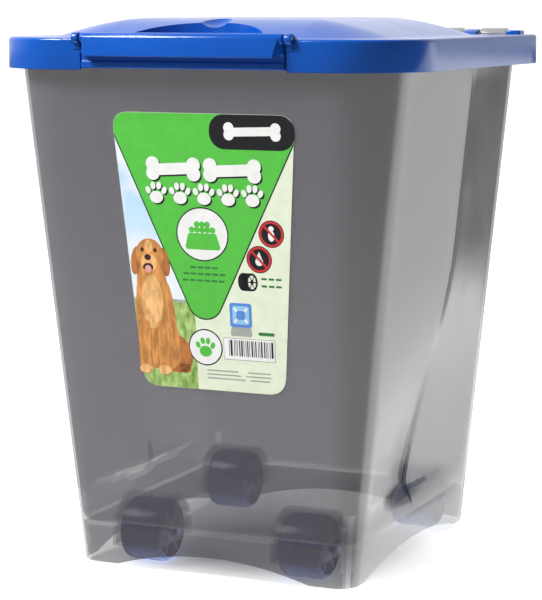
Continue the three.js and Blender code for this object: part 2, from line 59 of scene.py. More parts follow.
joint_at = {j["name"]: [value / MM for value in j["pos_m"]] for j in frame["joints"]}
HINGE_Y, HINGE_Z = joint_at["lid_hinge"][1:]
PIVOT_Y, PIVOT_Z = joint_at["latch_hinge"][1:]
LID_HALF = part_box("lid")[1].x / MM
LID_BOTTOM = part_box("latch")[0].z / MM - 1.4

# The lid: an upright skirt with a rounded top edge, and a shallow dome inside a flat margin.
LID_PLAN = Plan(LID_HALF, PIVOT_Y + 0.7, HINGE_Y, 64, 9)
LID_WALL = 2.4
RIM_TOP = PIVOT_Z + 0.2
RIM_ROUNDING = 2.6
UNDERSIDE = RIM_TOP - LID_WALL
DOME_PLAN = Plan(LID_HALF - 35, LID_PLAN.front + 16, HINGE_Y - 21, 60, 60)
DOME_HEIGHT = 14.2
DOME_SLOPE = 74
THUMB_RADIUS = 62
THUMB_BACK = -101
SCOOP_RADIUS = 17
SCOOP_REACH = 30
SCOOP_DROP = 4.2
MOUTH_RING_LOW = 400.5
SEAL_HEIGHTS = (402, 408)
NOTCH_HALF = 84
NOTCH_DEPTH = 4.2
NOTCH_WALL_LOW = 399.5

# The tub: an even taper from foot to mouth. The ridge on each side wall goes in by RIDGE_PINCH at the
# height PINCH_AT and out by RIDGE_SWELL at SWELL_AT, and the strip behind it is STRIP_DEPTH wide.
TUB_WALL = 2.2
TUB_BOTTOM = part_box("tub")[0].z / MM
TUB_TOP = UNDERSIDE - 1
FOOT = Plan(117, -111.4, 151.9, 17, 17)
MOUTH = Plan(161, -151.6, 154.7, 51, 24)
FLOOR_UNDER = 32
FLOOR_TOP = FLOOR_UNDER + TUB_WALL
WELL_CEILING = 62
LIP_PLAN = Plan(LID_HALF - 6.6, LID_PLAN.front + 6.6, MOUTH.back, 57.4, 20)
LIP_BOTTOM = 401
WALL_TOP = 397
SKIRT_TOP = 20
ARCH_HEIGHT = 13
FRONT_ARCH = (-82, 82)
SIDE_ARCH = (-84, 124)
RIDGE_Y = 6
RIDGE_SWELL = 10.4
RIDGE_PINCH = 11.5
PINCH_AT = 66
SWELL_AT = 255
FADE_OUT_AT = 42
EASE_FROM = 386
EASE_SHARE = 0.3
STRIP_DEPTH = 15
STRIP_SHARE = 0.72
STRIP_GROWTH = 120
STRIP_LEAST = 2

# The hinge: eight tub knuckles in pairs, with one lid knuckle in the middle of each pair.
HINGE_PITCH = 38.4
TUB_KNUCKLES = [(n - 3.5) * HINGE_PITCH for n in range(8)]
LID_KNUCKLES = [n * HINGE_PITCH for n in (-3, -1, 1, 3)]
TUB_KNUCKLE_WIDTH = 22.6
LID_KNUCKLE_WIDTH = 12
TUB_KNUCKLE_RADIUS = 7.3
LID_KNUCKLE_RADIUS = 6
HINGE_PIN_RADIUS = 2.2
KNUCKLE_WEB_LOW = 388
ABOVE_LID = 440

# The latch: a flap that hangs from a barrel between the lid's two ears.
LATCH_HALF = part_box("latch")[1].x / MM
BARREL_RADIUS = 4.3
LATCH_PROUD = 8.9
LATCH_LIP = 402.2
BORE_END = 100
LATCH_PIN_RADIUS = 1.6

# The rollers and the wells that they sit in.
WHEEL_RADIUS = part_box("wheel_front_left")[1].z / MM / 2
WHEEL_HALF = 17.5
AXLE_RADIUS = 4
WELL_RADIUS = WHEEL_RADIUS + 2.5
WELL_HALF = WHEEL_HALF + 1.5
WELL_BOTTOM = 16
ROLLERS = {
    name: joint_at[f"{name}_roll"]
    for name in ("front_left", "front_right", "rear_left", "rear_right")
}

# ---------------- outlines


def clamp01(value):
    return min(1.0, max(0.0, value))


def smooth(value):
    t = clamp01(value)
    return t * t * (3 - 2 * t)


def mix(a, b, t):
    return a + (b - a) * t


def between(start, end, share):
    return tuple(mix(start[k], end[k], share) for k in (0, 1))


def along(start, end, count):
    """Points from start towards end, without end itself."""
    return [between(start, end, i / count) for i in range(count)]


def arc(centre, radius, start, end, count):
    """Points on an arc between two angles in degrees, without the last one."""
    angles = [radians(mix(start, end, i / count)) for i in range(count)]
    return [(centre[0] + radius * cos(a), centre[1] + radius * sin(a)) for a in angles]


def bend(start, corner, end, count):
    """Points on a curve that rounds a corner off, without the last one."""
    points = []
    for t in (i / count for i in range(count)):
        first, second, third = (1 - t) ** 2, 2 * t * (1 - t), t * t
        points.append(tuple(first * start[k] + second * corner[k] + third * end[k] for k in (0, 1)))
    return points


def towards(start, end, distance):
    return between(start, end, distance / dist(start, end))


def spin(point, angle, centre):
    """A point given from the centre, turned round it by an angle in radians."""
    cosine, sine = cos(angle), sin(angle)
    return (
        centre[0] + point[0] * cosine - point[1] * sine,
        centre[1] + point[0] * sine + point[1] * cosine,
    )


def rounded(points, radius, steps=5, only=None):
    """A closed outline with its corners, or only the one that is named, turned into arcs."""
    result = []
    count = len(points)
    for i, corner in enumerate(points):
        before, after = points[i - 1], points[(i + 1) % count]
        if only is not None and i != only:
            result.append(corner)
            continue
        to_before = (Vector(before) - Vector(corner)).normalized()
        to_after = (Vector(after) - Vector(corner)).normalized()
        half = to_before.angle(to_after) / 2
        room = 0.46 * min(dist(before, corner), dist(corner, after))
        tangent = min(radius / tan(half), room)
        if half > radians(88) or tangent < 1e-3:
            result.append(corner)
            continue
        turn = tangent * tan(half)
        centre = Vector(corner) + (to_before + to_after).normalized() * hypot(tangent, turn)
        first = Vector(corner) + to_before * tangent - centre
        last = Vector(corner) + to_after * tangent - centre
        sweep = first.angle_signed(last)
        result += [spin(first, -sweep * step / steps, centre) for step in range(steps + 1)]
    return result


def area(points):
    return sum(a[0] * b[1] - b[0] * a[1] for a, b in zip(points, points[1:] + points[:1])) / 2


def shrunk(points, distance):
    """A closed outline moved inwards along its corners' normals."""
    if distance == 0:
        return list(points)
    shift = distance if area(points) > 0 else -distance
    result = []
    for i, point in enumerate(points):
        before = Vector(point) - Vector(points[i - 1])
        after = Vector(points[(i + 1) % len(points)]) - Vector(point)
        heading = (before.normalized() + after.normalized()).normalized()
        result.append((point[0] - heading.y * shift, point[1] + heading.x * shift))
    return result


def inset(plan, distance):
    return Plan(
        plan.half_width - distance,
        plan.front + distance,
        plan.back - distance,
        max(plan.front_radius - distance, 0.5),
        max(plan.back_radius - distance, 0.5),
    )


def outline(plan, ridge=0.0, strip=STRIP_DEPTH):
    """A plan's outline, anticlockwise from the front's middle, with a crease and a strip on each side."""
    half, front, back, front_radius, back_radius = plan
    corner_end = (half, front + front_radius)
    crease = (half + ridge, RIDGE_Y)
    step = (half + ridge * STRIP_SHARE, RIDGE_Y + STRIP_LEAST + strip)
    side_end = (half, back - back_radius)
    reach = min(4.5, 0.45 * (STRIP_LEAST + strip))
    crease_start = towards(crease, corner_end, reach)
    crease_end = towards(crease, step, reach)
    step_start = towards(step, crease, reach * 0.5)
    step_end = towards(step, side_end, reach * 0.5)
    right = [
        *along((0, front), (half - front_radius, front), 16),
        *arc((half - front_radius, front + front_radius), front_radius, -90, 0, 14),
        *along(corner_end, crease_start, 10),
        *bend(crease_start, crease, crease_end, 6),
        *along(crease_end, step_start, 2),
        *bend(step_start, step, step_end, 4),
        *along(step_end, side_end, 10),
        *arc((half - back_radius, back - back_radius), back_radius, 0, 90, 8),
        *along((half - back_radius, back), (0, back), 14),
        (0, back),
    ]
    left = [(-x, y) for x, y in reversed(right[1:-1])]
    return right + left


# ---------------- meshes


def ring(points, z):
    return [(x, y, z) for x, y in points]


def loft(rings, closed=False):
    """A skin through rings of equally many points: capped at both ends, or closed into a loop."""
    count = len(rings[0])
    points = [point for row in rings for point in row]
    faces = []
    for row in range(len(rings) if closed else len(rings) - 1):
        here, there = row * count, (row + 1) % len(rings) * count
        for i in range(count):
            j = (i + 1) % count
            faces.append((here + i, here + j, there + j, there + i))
    if not closed:
        last = (len(rings) - 1) * count
        faces.append(tuple(reversed(range(count))))
        faces.append(tuple(range(last, last + count)))
    return points, faces


def make_object(name, *skins):
    """One object from closed skins in millimetres."""
    mesh = bpy.data.meshes.new(name)
    points, faces = [], []
    for skin_points, skin_faces in skins:
        start = len(points)
        points += [Vector(point) * MM for point in skin_points]
        faces += [tuple(index + start for index in face) for face in skin_faces]
    mesh.from_pydata(points, [], faces)
    work = bmesh.new()
    work.from_mesh(mesh)
    bmesh.ops.recalc_face_normals(work, faces=work.faces)
    work.to_mesh(mesh)
    work.free()
    made = bpy.data.objects.new(name, mesh)
    bpy.context.scene.collection.objects.link(made)
    return made


def combine(target, operation, tool):
    """Joins a tool to the target or cuts it out, and removes the tool."""
    modifier = target.modifiers.new("combine", "BOOLEAN")
    modifier.operation = operation
    modifier.solver = "MANIFOLD"
    modifier.object = tool
    depsgraph = bpy.context.evaluated_depsgraph_get()
    mesh = bpy.data.meshes.new_from_object(target.evaluated_get(depsgraph))
    target.modifiers.clear()
    target.data = mesh
    bpy.data.objects.remove(tool)


def join(target, *skins):
    """Joins skins to the target. The skins of one call don't overlap."""
    combine(target, "UNION", make_object("tool", *skins))


def cut(target, *skins):
    """Cuts skins out of the target. The skins of one call don't overlap."""
    combine(target, "DIFFERENCE", make_object("tool", *skins))


def quarter_turn(steps):
    """Angles from nought to a right angle, both included."""
    return [step / steps * pi / 2 for step in range(steps + 1)]


def bar(profile, x0, x1, edge=0.6, steps=3, end_of=None):
    """A closed profile of (y, z) points carried along X, with rounded ends that end_of(y, z) pulls in."""
    quarters = quarter_turn(steps) if edge else [pi / 2]
    pulls = [end_of(y, z) if end_of else 0 for y, z in profile]
    rings = []
    for end, inwards, order in ((x0, 1, quarters), (x1, -1, quarters[::-1])):
        for quarter in order:
            section = shrunk(profile, edge * (1 - sin(quarter)))
            reach = edge * (1 - cos(quarter))
            rings.append([(end + inwards * (reach + pull), y, z) for (y, z), pull in zip(section, pulls)])
    return loft(rings)


def circle(centre, radius, count=48):
    return arc(centre, radius, 0, 360, count)


def rod(x0, x1, y, z, radius, edge=0.4, count=48):
    return bar(circle((y, z), radius, count), x0, x1, edge)


def oblong(x0, x1, y0, y1):
    return [(x0, y0), (x1, y0), (x1, y1), (x0, y1)]


def block(low, high, edge=0.6):
    """A box with rounded edges."""
    corners = oblong(low[1], high[1], low[2], high[2])
    return bar(rounded(corners, edge, 3), low[0], high[0], edge)


def hoop(x, y, z, radius, count):
    """A ring of points round an axis along X."""
    return [(x, y + radius * cos(a), z + radius * sin(a)) for a in turns(count)]


def lathe_x(profile, x, y, z, count):
    """A closed (radius, along) profile turned round an axis along X."""
    return loft([hoop(x + reach, y, z, radius, count) for radius, reach in profile], closed=True)


def turns(count):
    return [2 * pi * i / count for i in range(count)]


def shade(target, degrees=32):
    target.data.shade_smooth()
    target.data.set_sharp_from_angle(angle=radians(degrees))


def finish_piece(piece, material, body, slot, *nodes):
    """Shades a piece, gives it its material, hangs it from its body's empty and hides the CAD nodes that it
    stands for.
    """
    shade(piece)
    piece.data.materials.clear()
    piece.data.materials.append(material)
    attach(piece, body)
    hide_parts(*nodes)
    return piece


# ---------------- materials


def feed(owner, node, inputs):
    """Gives each named or numbered input of a node its value, or its link from another node."""
    for key, value in inputs.items():
        if isinstance(value, bpy.types.NodeSocket):
            owner.node_tree.links.new(value, node.inputs[key])
        else:
            node.inputs[key].default_value = value


def add_node(owner, kind, inputs, **settings):
    """A new node in a material or in the world."""
    node = owner.node_tree.nodes.new(f"ShaderNode{kind}")
    for key, value in settings.items():
        setattr(node, key, value)
    feed(owner, node, inputs)
    return node


def paint(material, inputs):
    feed(material, material.node_tree.nodes["Principled BSDF"], inputs)


def new_material(name, colour, roughness, **more):
    material = bpy.data.materials.new(name)
    material.use_nodes = True
    paint(material, {"Base Color": (*colour, 1), "Roughness": roughness})
    paint(material, {key.replace("_", " "): value for key, value in more.items()})
    return material


def object_place(material):
    """The place on the object, in metres."""
    return add_node(material, "TexCoord", {}).outputs["Object"]


def add_noise(material, scale, detail=3.0, stretch=(1, 1, 1)):
    """A noise texture fixed to the object. Scale is in repeats per metre."""
    mapping = add_node(material, "Mapping", {"Vector": object_place(material), "Scale": stretch})
    inputs = {"Vector": mapping.outputs["Vector"], "Scale": scale, "Detail": detail}
    return add_node(material, "TexNoise", inputs).outputs["Fac"]


def map_range(owner, source, inside, outside):
    """Stretches a varying value from one range to another."""
    ends = ("From Min", "From Max", "To Min", "To Max")
    inputs = dict(zip(ends, (*inside, *outside)), Value=source)
    return add_node(owner, "MapRange", inputs).outputs["Result"]


def vary_roughness(material, source, low, high):
    paint(material, {"Roughness": map_range(material, source, (0.3, 0.7), (low, high))})


def colour_ramp(material, source, first, second, low=0.35, high=0.65):
    """The first colour up to a low value, the second from a high one, and a blend between."""
    ramp = add_node(material, "ValToRGB", {"Fac": source})
    for element, position, colour in zip(ramp.color_ramp.elements, (low, high), (first, second)):
        element.position = position
        element.color = (*colour, 1)
    return ramp


def vary_colour(material, source, first, second):
    ramp = colour_ramp(material, source, first, second)
    paint(material, {"Base Color": ramp.outputs["Color"]})


def add_bump(material, source, height_mm, strength):
    inputs = {"Height": source, "Distance": height_mm * MM, "Strength": strength}
    paint(material, {"Normal": add_node(material, "Bump", inputs).outputs["Normal"]})


def tinted_plastic(name, colour, alpha, ior):
    """Smoke-tinted clear polypropylene: each of a wall's two faces holds back part of the light."""
    material = new_material(name, colour, 0.14, Alpha=alpha, IOR=ior)
    vary_roughness(material, add_noise(material, 18), 0.1, 0.18)
    add_bump(material, add_noise(material, 9, 1.0), 0.5, 0.3)
    return material


def smoke_plastic():
    return tinted_plastic("smoke_plastic", (0.118, 0.108, 0.13), 0.51, 1.9)


def clear_plastic():
    """A clearer look for the tub's floor and wells, so that the rollers show through them."""
    return tinted_plastic("clear_plastic", (0.11, 0.11, 0.15), 0.26, 1.6)


def blue_plastic():
    """Moulded blue polypropylene with a satin gloss and a very fine grain."""
    material = new_material("blue_plastic", (0.0045, 0.078, 0.4), 0.14, Specular_IOR_Level=0.26)
    vary_colour(material, add_noise(material, 14), (0.004, 0.072, 0.375), (0.005, 0.084, 0.425))
    vary_roughness(material, add_noise(material, 60), 0.11, 0.17)
    add_bump(material, add_noise(material, 900, 2.0), 0.02, 0.3)
    return material


def roller_plastic():
    """Moulded blue plastic, less shiny than the lid's."""
    material = new_material("roller_plastic", (0.013, 0.095, 0.42), 0.3)
    vary_colour(material, add_noise(material, 40), (0.011, 0.085, 0.38), (0.015, 0.105, 0.46))
    vary_roughness(material, add_noise(material, 120), 0.32, 0.46)
    add_bump(material, add_noise(material, 1500, 2.0), 0.03, 0.3)
    return material


def gasket_rubber():
    """Soft grey rubber without shine."""
    material = new_material("gasket_rubber", (0.5, 0.52, 0.55), 0.75)
    vary_colour(material, add_noise(material, 200), (0.46, 0.48, 0.51), (0.54, 0.56, 0.59))
    vary_roughness(material, add_noise(material, 400), 0.68, 0.82)
    add_bump(material, add_noise(material, 2500, 2.0), 0.03, 0.4)
    return material


def drawn_steel():
    """Bright wire, with fine lines along its length."""
    material = new_material("drawn_steel", (0.62, 0.63, 0.65), 0.3, Metallic=1.0)
    lines = add_noise(material, 900, 3.0, stretch=(0.03, 1, 1))
    vary_colour(material, lines, (0.54, 0.55, 0.57), (0.68, 0.69, 0.71))
    vary_roughness(material, lines, 0.22, 0.4)
    return material


# ---------------- the tub


def ridge_offset(z):
    """How far the side's ridge stands out, or in where negative, at a height."""
    rise = smooth((z - PINCH_AT) / (SWELL_AT - PINCH_AT))
    fade = smooth((z - FADE_OUT_AT) / (PINCH_AT - FADE_OUT_AT))
    ease = 1 - EASE_SHARE * clamp01((z - EASE_FROM) / (LIP_BOTTOM - EASE_FROM))
    return ease * fade * (rise * (RIDGE_SWELL + RIDGE_PINCH) - RIDGE_PINCH)


def tub_plan(z):
    t = (z - TUB_BOTTOM) / (TUB_TOP - TUB_BOTTOM)
    return Plan(*(mix(low, high, t) for low, high in zip(FOOT, MOUTH)))


def tub_outline(z, distance):
    strip = STRIP_DEPTH * clamp01((z - PINCH_AT) / STRIP_GROWTH)
    return outline(inset(tub_plan(z), distance), ridge_offset(z), strip)


def tub_ring(z, distance):
    return ring(tub_outline(z, distance), z)


def arch(value, span):
    start, end = span
    t = clamp01((value - start) / (end - start))
    return ARCH_HEIGHT * 4 * t * (1 - t)


def skirt_ring(distance, lift, share=0.0):
    """A ring along the arched lower edge, or a share of the way up to the skirt's straight top."""
    low, high = tub_outline(TUB_BOTTOM, distance), tub_outline(SKIRT_TOP, distance)
    points = []
    for a, b in zip(low, high):
        edge = TUB_BOTTOM + max(arch(a[0], FRONT_ARCH), arch(a[1], SIDE_ARCH)) + lift
        z = mix(edge, SKIRT_TOP, share)
        points.append((*between(a, b, (z - TUB_BOTTOM) / (SKIRT_TOP - TUB_BOTTOM)), z))
    return points


def lip_rings():
    """The rim: out over the wall, down, round the lower edge and up the outside to the top."""
    wall = tub_outline(TUB_TOP - TUB_WALL, 0)
    least = 0.2
    columns = []
    for i, (at_wall, at_lip) in enumerate(zip(wall, outline(LIP_PLAN))):
        before, after = Vector(wall[i - 1]), Vector(wall[(i + 1) % len(wall)])
        heading = (after - before).normalized()
        out = Vector((heading.y, -heading.x))
        reach = max((Vector(at_lip) - Vector(at_wall)).dot(out), least)
        groove = max(reach - TUB_WALL, least / 2)
        ceiling = mix(LIP_BOTTOM + 0.5, TUB_TOP - TUB_WALL, smooth(groove / 2))
        path = (
            (0, ceiling),
            (groove, ceiling),
            (groove, LIP_BOTTOM + 0.2),
            (reach, LIP_BOTTOM + 0.2),
            (reach, TUB_TOP - 1.2),
            (max(reach - 0.4, 0), TUB_TOP - 0.35),
            (max(reach - 1.2, -0.2), TUB_TOP),
        )
        columns.append([(at_wall[0] + out.x * far, at_wall[1] + out.y * far, z) for far, z in path])
    return list(zip(*columns))


def tub_skin():
    """The tub without its wells and knuckles: skirt, outside, rim, inside and floor in one closed skin."""
    rings = [tub_ring(z, TUB_WALL) for z in (FLOOR_UNDER, 28, 24, SKIRT_TOP)]
    rings += [skirt_ring(TUB_WALL, 0.7, share) for share in (0.66, 0.33, 0)]
    rings += [skirt_ring(TUB_WALL - 0.2, 0.2), skirt_ring(TUB_WALL - 0.7, 0)]
    rings += [skirt_ring(0.7, 0), skirt_ring(0.2, 0.2)]
    rings += [skirt_ring(0, 0.7, share) for share in (0, 0.33, 0.66)]
    heights = [*range(SKIRT_TOP, 80, 4), *range(80, WALL_TOP - 1, 9), WALL_TOP]
    rings += [tub_ring(z, 0) for z in heights]
    rings += lip_rings()
    rings += [tub_ring(TUB_TOP, TUB_WALL - 0.8), tub_ring(TUB_TOP - 1, TUB_WALL)]
    fillet = 6
    rings += [tub_ring(z, TUB_WALL) for z in reversed(heights) if z > FLOOR_TOP + fillet + 2]
    for angle in quarter_turn(6):
        z = FLOOR_TOP + fillet * (1 - sin(angle))
        rings.append(tub_ring(z, TUB_WALL + fillet * (1 - cos(angle))))
    return loft(rings)


def well_profile(y, radius, bottom):
    roof = arc((y, WHEEL_RADIUS), radius, 0, 180, 30)
    return [*roof, (y - radius, WHEEL_RADIUS), (y - radius, bottom), (y + radius, bottom)]


def knuckle(x, width, profile, radius, edge):
    """A web of a given profile, and the barrel on it."""
    x0, x1 = x - width / 2, x + width / 2
    return bar(profile, x0, x1, edge), rod(x0, x1, HINGE_Y, HINGE_Z, radius, edge)


def tub_knuckle_skins(x):
    """A knuckle on a web that runs down the outside of the rear wall."""
    web = [
        (MOUTH.back - 1, HINGE_Z + 4),
        (MOUTH.back - 1, KNUCKLE_WEB_LOW),
        (HINGE_Y + TUB_KNUCKLE_RADIUS, HINGE_Z - 4),
        (HINGE_Y + TUB_KNUCKLE_RADIUS, HINGE_Z + 0.5),
        (HINGE_Y + 0.5, HINGE_Z + TUB_KNUCKLE_RADIUS),
    ]
    return knuckle(x, TUB_KNUCKLE_WIDTH, rounded(web, 1.2, 3), TUB_KNUCKLE_RADIUS, 1.2)


def hinge_bore(x):
    return rod(x - TUB_KNUCKLE_WIDTH, x + TUB_KNUCKLE_WIDTH, HINGE_Y, HINGE_Z, HINGE_PIN_RADIUS + GAP, 0)


def make_tub():
    tub = make_object("tub_moulding", tub_skin())
    for x, y, _ in ROLLERS.values():
        shell = well_profile(y, WELL_RADIUS + TUB_WALL, WELL_BOTTOM)
        half = WELL_HALF + TUB_WALL
        join(tub, bar(shell, x - half, x + half, 3, 4))
    for x, y, z in ROLLERS.values():
        hollow = well_profile(y, WELL_RADIUS, -5)
        reach = WELL_HALF + 2 * TUB_WALL
        cut(tub, bar(hollow, x - WELL_HALF, x + WELL_HALF, 1.5))
        cut(tub, rod(x - reach, x + reach, y, z, AXLE_RADIUS + GAP, 0, 32))
    for parts in zip(*(tub_knuckle_skins(x) for x in TUB_KNUCKLES)):
        join(tub, *parts)
    cut(tub, *(hinge_bore(x) for x in LID_KNUCKLES))
    return tub


def clear_inner_faces(tub):
    """Gives the faces of the tub's floor and wells the clearer plastic. The walls keep theirs."""
    tub.data.materials.append(clear_plastic())
    for face in tub.data.polygons:
        x, y, z = (value / MM for value in face.center)
        plan = inset(tub_plan(z), TUB_WALL + 2)
        inboard = abs(x) < plan.half_width and plan.front < y < plan.back
        if inboard and z < WELL_CEILING:
            face.material_index = 1


# ---------------- the lid


def dome_height(depth):
    return DOME_HEIGHT * sin(pi / 2 * clamp01(depth / DOME_SLOPE))


def plan_rings(plan, rows):
    """Rings of a plan, each from the distance that it is moved in and its height."""
    return [ring(outline(inset(plan, distance)), z) for distance, z in rows]


def dome_skin(lowered, base):
    """Everything under the dome's surface, lowered by a distance, down to a flat base."""
    steps = 26
    depths = [DOME_SLOPE * i / steps for i in range(steps + 1)]
    surface = [(depth, RIM_TOP - lowered + dome_height(depth)) for depth in depths]
    return loft(plan_rings(DOME_PLAN, [(0, base), *surface]))


def thumb_recess(grown, base):
    """The upright round recess in the dome's front slope, and the thumb scoop behind it."""
    plan = circle((0, THUMB_BACK - THUMB_RADIUS), THUMB_RADIUS + grown, 128)
    recess = make_object("recess", loft([ring(plan, base), ring(plan, base + 50)]))
    depth = THUMB_BACK - DOME_PLAN.front
    centre = RIM_TOP + dome_height(depth) - SCOOP_DROP + SCOOP_RADIUS
    rings = []
    for k in range(1, 24):
        tilt = pi * k / 24
        wide = (SCOOP_RADIUS + grown) * sin(tilt)
        long = (SCOOP_REACH + grown) * sin(tilt)
        z = centre - (SCOOP_RADIUS + grown) * cos(tilt)
        rings.append([(wide * cos(a), THUMB_BACK - 4 + long * sin(a), z) for a in turns(48)])
    join(recess, loft(rings))
    return recess


def lid_tray():
    """The lid's skirt and flat margin, with a rounded top edge."""
    rows = [(LID_WALL, z) for z in (UNDERSIDE, UNDERSIDE - 8, LID_BOTTOM + 0.6)]
    rows += [(LID_WALL - 0.6, LID_BOTTOM), (0.7, LID_BOTTOM)]
    rows += [(0.2, LID_BOTTOM + 0.2), (0, LID_BOTTOM + 0.8)]
    for angle in quarter_turn(8):
        z = RIM_TOP - RIM_ROUNDING * (1 - sin(angle))
        rows.append((RIM_ROUNDING * (1 - cos(angle)), z))
    return loft(plan_rings(LID_PLAN, rows))


MOUTH_PLAN = inset(tub_plan(TUB_TOP - 12), TUB_WALL)


def wall_ring(plan, thickness, z0, z1, edge):
    """An upright ring of wall with rounded edges, closed on itself."""
    section = rounded(oblong(0, thickness, z0, z1), edge, 3)
    return loft(plan_rings(plan, section), closed=True)


def rear_corner_tools():
    """What opens the lid's rear, and rounds the rear lower corner of each side skirt."""
    inner = LID_HALF - LID_WALL - 0.2
    low = LID_BOTTOM - 1
    opening = block((-inner, HINGE_Y - 14, low), (inner, HINGE_Y + 1, UNDERSIDE), 0)
    radius = 11
    centre = (HINGE_Y - radius, LID_BOTTOM + radius)
    curve = arc(centre, radius, -90, 0, 16) + [(HINGE_Y, centre[1])]
    profile = [*curve, (HINGE_Y + 2, centre[1]), (HINGE_Y + 2, low), (centre[0], low)]
    corner = bar(profile, -LID_HALF - 2, LID_HALF + 2, 0)
    return opening, corner


def ear_skins(side):
    """A raised ear at an end of the notch, which carries a latch pin."""
    inner = NOTCH_HALF - 0.2
    x0, x1 = sorted((side * inner, side * (inner + 5.5)))
    barrel = rod(x0, x1, PIVOT_Y, PIVOT_Z, BARREL_RADIUS, 0.7)
    foot = block((x0, PIVOT_Y, PIVOT_Z - 8), (x1, PIVOT_Y + 6.4, PIVOT_Z + 0.2), 0.3)
    wedge = [(0, BARREL_RADIUS), (0, -2), (10, -2), (10, 0)]
    fairing = bar([(PIVOT_Y + y, PIVOT_Z + z) for y, z in wedge], x0, x1, 0.5)
    return barrel, foot, fairing


def lid_knuckle_skins(x):
    """A knuckle on a neck that comes out of the lid's rear edge."""
    neck = [
        (HINGE_Y - 13, UNDERSIDE),
        (HINGE_Y, UNDERSIDE),
        (HINGE_Y, HINGE_Z + LID_KNUCKLE_RADIUS),
        (HINGE_Y - 8, HINGE_Z + LID_KNUCKLE_RADIUS - 1.5),
        (HINGE_Y - 13, RIM_TOP),
    ]
    return knuckle(x, LID_KNUCKLE_WIDTH, rounded(neck, 0.6, 2), LID_KNUCKLE_RADIUS, 0.8)


def rear_bars():
    """The low bars of the lid's rear edge, between and outside the knuckle pairs."""
    clear = TUB_KNUCKLE_WIDTH / 2 + 1
    middle = HINGE_PITCH / 2 - clear
    outer = 3.5 * HINGE_PITCH + clear
    spans = [(x - middle, x + middle) for x in (-2 * HINGE_PITCH, 0, 2 * HINGE_PITCH)]
    spans += [(outer, 159), (-159, -outer)]
    low, high = UNDERSIDE + 0.1, HINGE_Z + 5.3
    return [block((x0, HINGE_Y - 9, low), (x1, HINGE_Y + 4.6, high), 1.4) for x0, x1 in spans]


def make_lid():
    lid = make_object("lid_moulding", lid_tray())
    join(lid, dome_skin(0, UNDERSIDE + 1))
    hollow = make_object("hollow", dome_skin(LID_WALL, UNDERSIDE - 8))
    combine(hollow, "DIFFERENCE", thumb_recess(LID_WALL, UNDERSIDE))
    combine(lid, "DIFFERENCE", hollow)
    combine(lid, "DIFFERENCE", thumb_recess(0, RIM_TOP + 0.02))
    join(lid, wall_ring(inset(MOUTH_PLAN, 4.4), 2, MOUTH_RING_LOW, UNDERSIDE + 0.5, 0.6))
    for tool in rear_corner_tools():
        cut(lid, tool)
    back = LID_PLAN.front + NOTCH_DEPTH
    cut(lid, block((-NOTCH_HALF, LID_PLAN.front - 1, LID_BOTTOM - 1), (NOTCH_HALF, back, RIM_TOP + 1), 0))
    half = NOTCH_HALF + 2
    join(lid, block((-half, back, NOTCH_WALL_LOW), (half, back + 2, UNDERSIDE + 0.5), 0.4))
    for parts in zip(ear_skins(-1), ear_skins(1)):
        join(lid, *parts)
    join(lid, *rear_bars())
    cut_knuckle_rooms(lid)
    for parts in zip(*(lid_knuckle_skins(x) for x in LID_KNUCKLES)):
        join(lid, *parts)
    cut(lid, *(hinge_bore(x) for x in LID_KNUCKLES))
    cut(lid, rod(-BORE_END, BORE_END, PIVOT_Y, PIVOT_Z, LATCH_PIN_RADIUS + GAP, 0, 24))
    return lid


def cut_knuckle_rooms(lid):
    """Clears the lid's rear edge round the tub's knuckles and beside the lid's own."""
    front, back = HINGE_Y - 8.4, HINGE_Y + 9
    low, high = UNDERSIDE - 20, ABOVE_LID
    half = TUB_KNUCKLE_WIDTH / 2 + 1
    rooms = [block((x - half, front, low), (x + half, back, high), 0) for x in TUB_KNUCKLES]
    cut(lid, *rooms)
    room, own = HINGE_PITCH / 2, LID_KNUCKLE_WIDTH / 2
    beside = []
    for x in LID_KNUCKLES:
        beside.append(block((x - room, front, low), (x - own, back, high), 0))
        beside.append(block((x + own, front, low), (x + room, back, high), 0))
    cut(lid, *beside)


def make_seal():
    return make_object("lid_gasket", wall_ring(inset(MOUTH_PLAN, 0.7), 3.3, *SEAL_HEIGHTS, 1.3))


# ---------------- latch, pins and rollers


